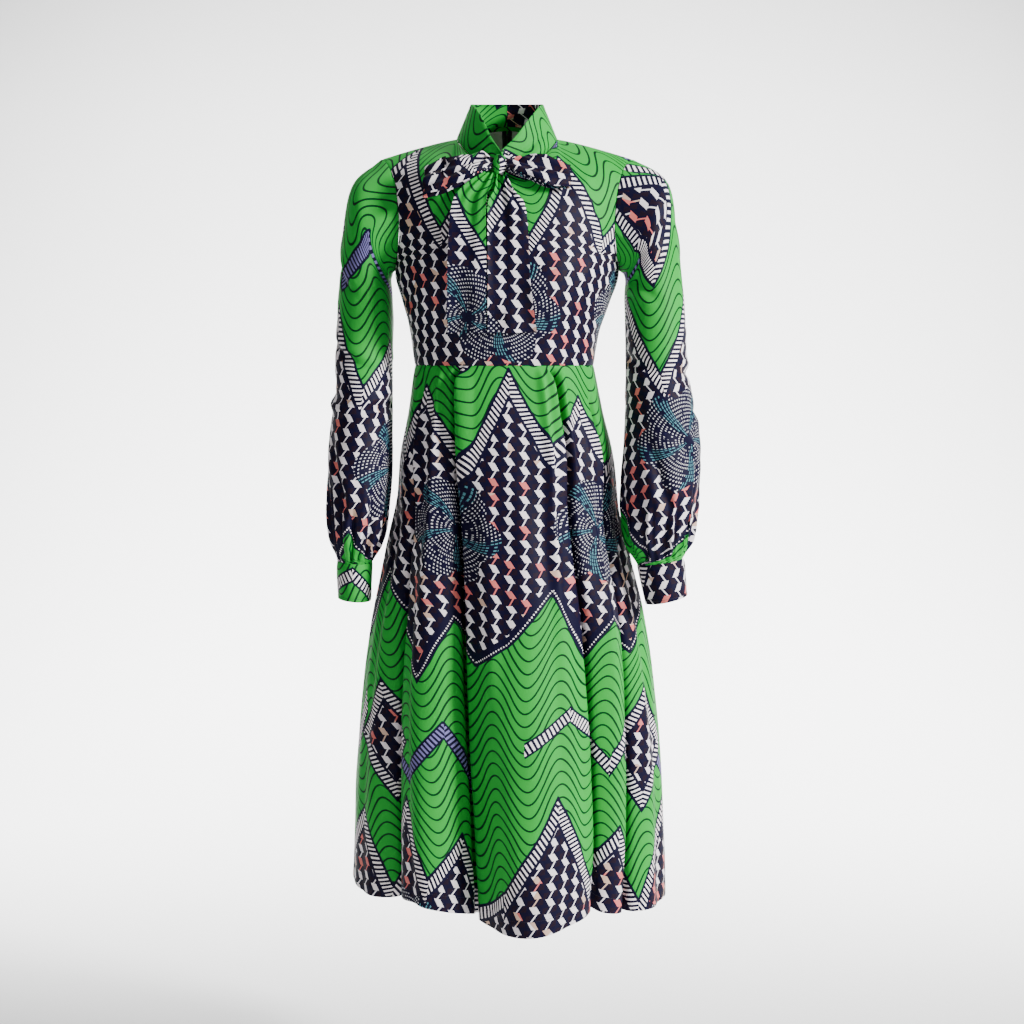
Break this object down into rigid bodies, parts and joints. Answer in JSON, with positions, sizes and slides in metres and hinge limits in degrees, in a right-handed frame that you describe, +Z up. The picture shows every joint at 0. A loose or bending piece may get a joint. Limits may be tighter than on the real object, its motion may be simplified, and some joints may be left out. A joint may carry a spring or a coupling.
{
  "type": "wax print cotton midi dress",
  "caption": "Worn-form midi dress in wax-printed cotton: funnel collar with tied bow, gathered bishop sleeves on cuffs, seamed waist, flared skirt with hanging folds, back zip.",
  "frame": {"origin": "midway between the two points where the shoulder seams meet the collar", "axes": "+Z up along the wearer's back, -Y out of the dress front, +X to the wearer's left"},
  "size_m": [0.533, 0.4771, 1.1611],
  "materials": {
    "wax_print": "wax-printed cotton with a soft sheen",
    "facing": "matte",
    "zip_tape": "woven tape",
    "zip_metal": "satin"
  },
  "bodies": {
    "dress": {"bodice_front": "wax_print", "bodice_back_left": "wax_print", "bodice_back_right": "wax_print", "skirt_front": "wax_print", "skirt_back_left": "wax_print", "skirt_back_right": "wax_print", "sleeve_left": "wax_print", "sleeve_right": "wax_print", "cuff_left": "wax_print", "cuff_right": "wax_print", "collar_left": "wax_print", "collar_right": "wax_print", "bow_knot": "wax_print", "bow_loop_left": "wax_print", "bow_loop_right": "wax_print", "bow_tail_left": "wax_print", "bow_tail_right": "wax_print", "back_facing_left": "facing", "back_facing_right": "facing", "zip_tape_left": "zip_tape", "zip_tape_right": "zip_tape", "zip_slider": "zip_metal"},
    "pull": {"zip_pull": "zip_metal"}
  },
  "joints": [
    {"name": "zip_pull_flip", "type": "hinge", "parent": "dress", "child": "pull", "pos_m": [0, 0.07664, 0.01313], "axis": [1, 0, 0], "range_deg": [0, 140]}
  ]
}
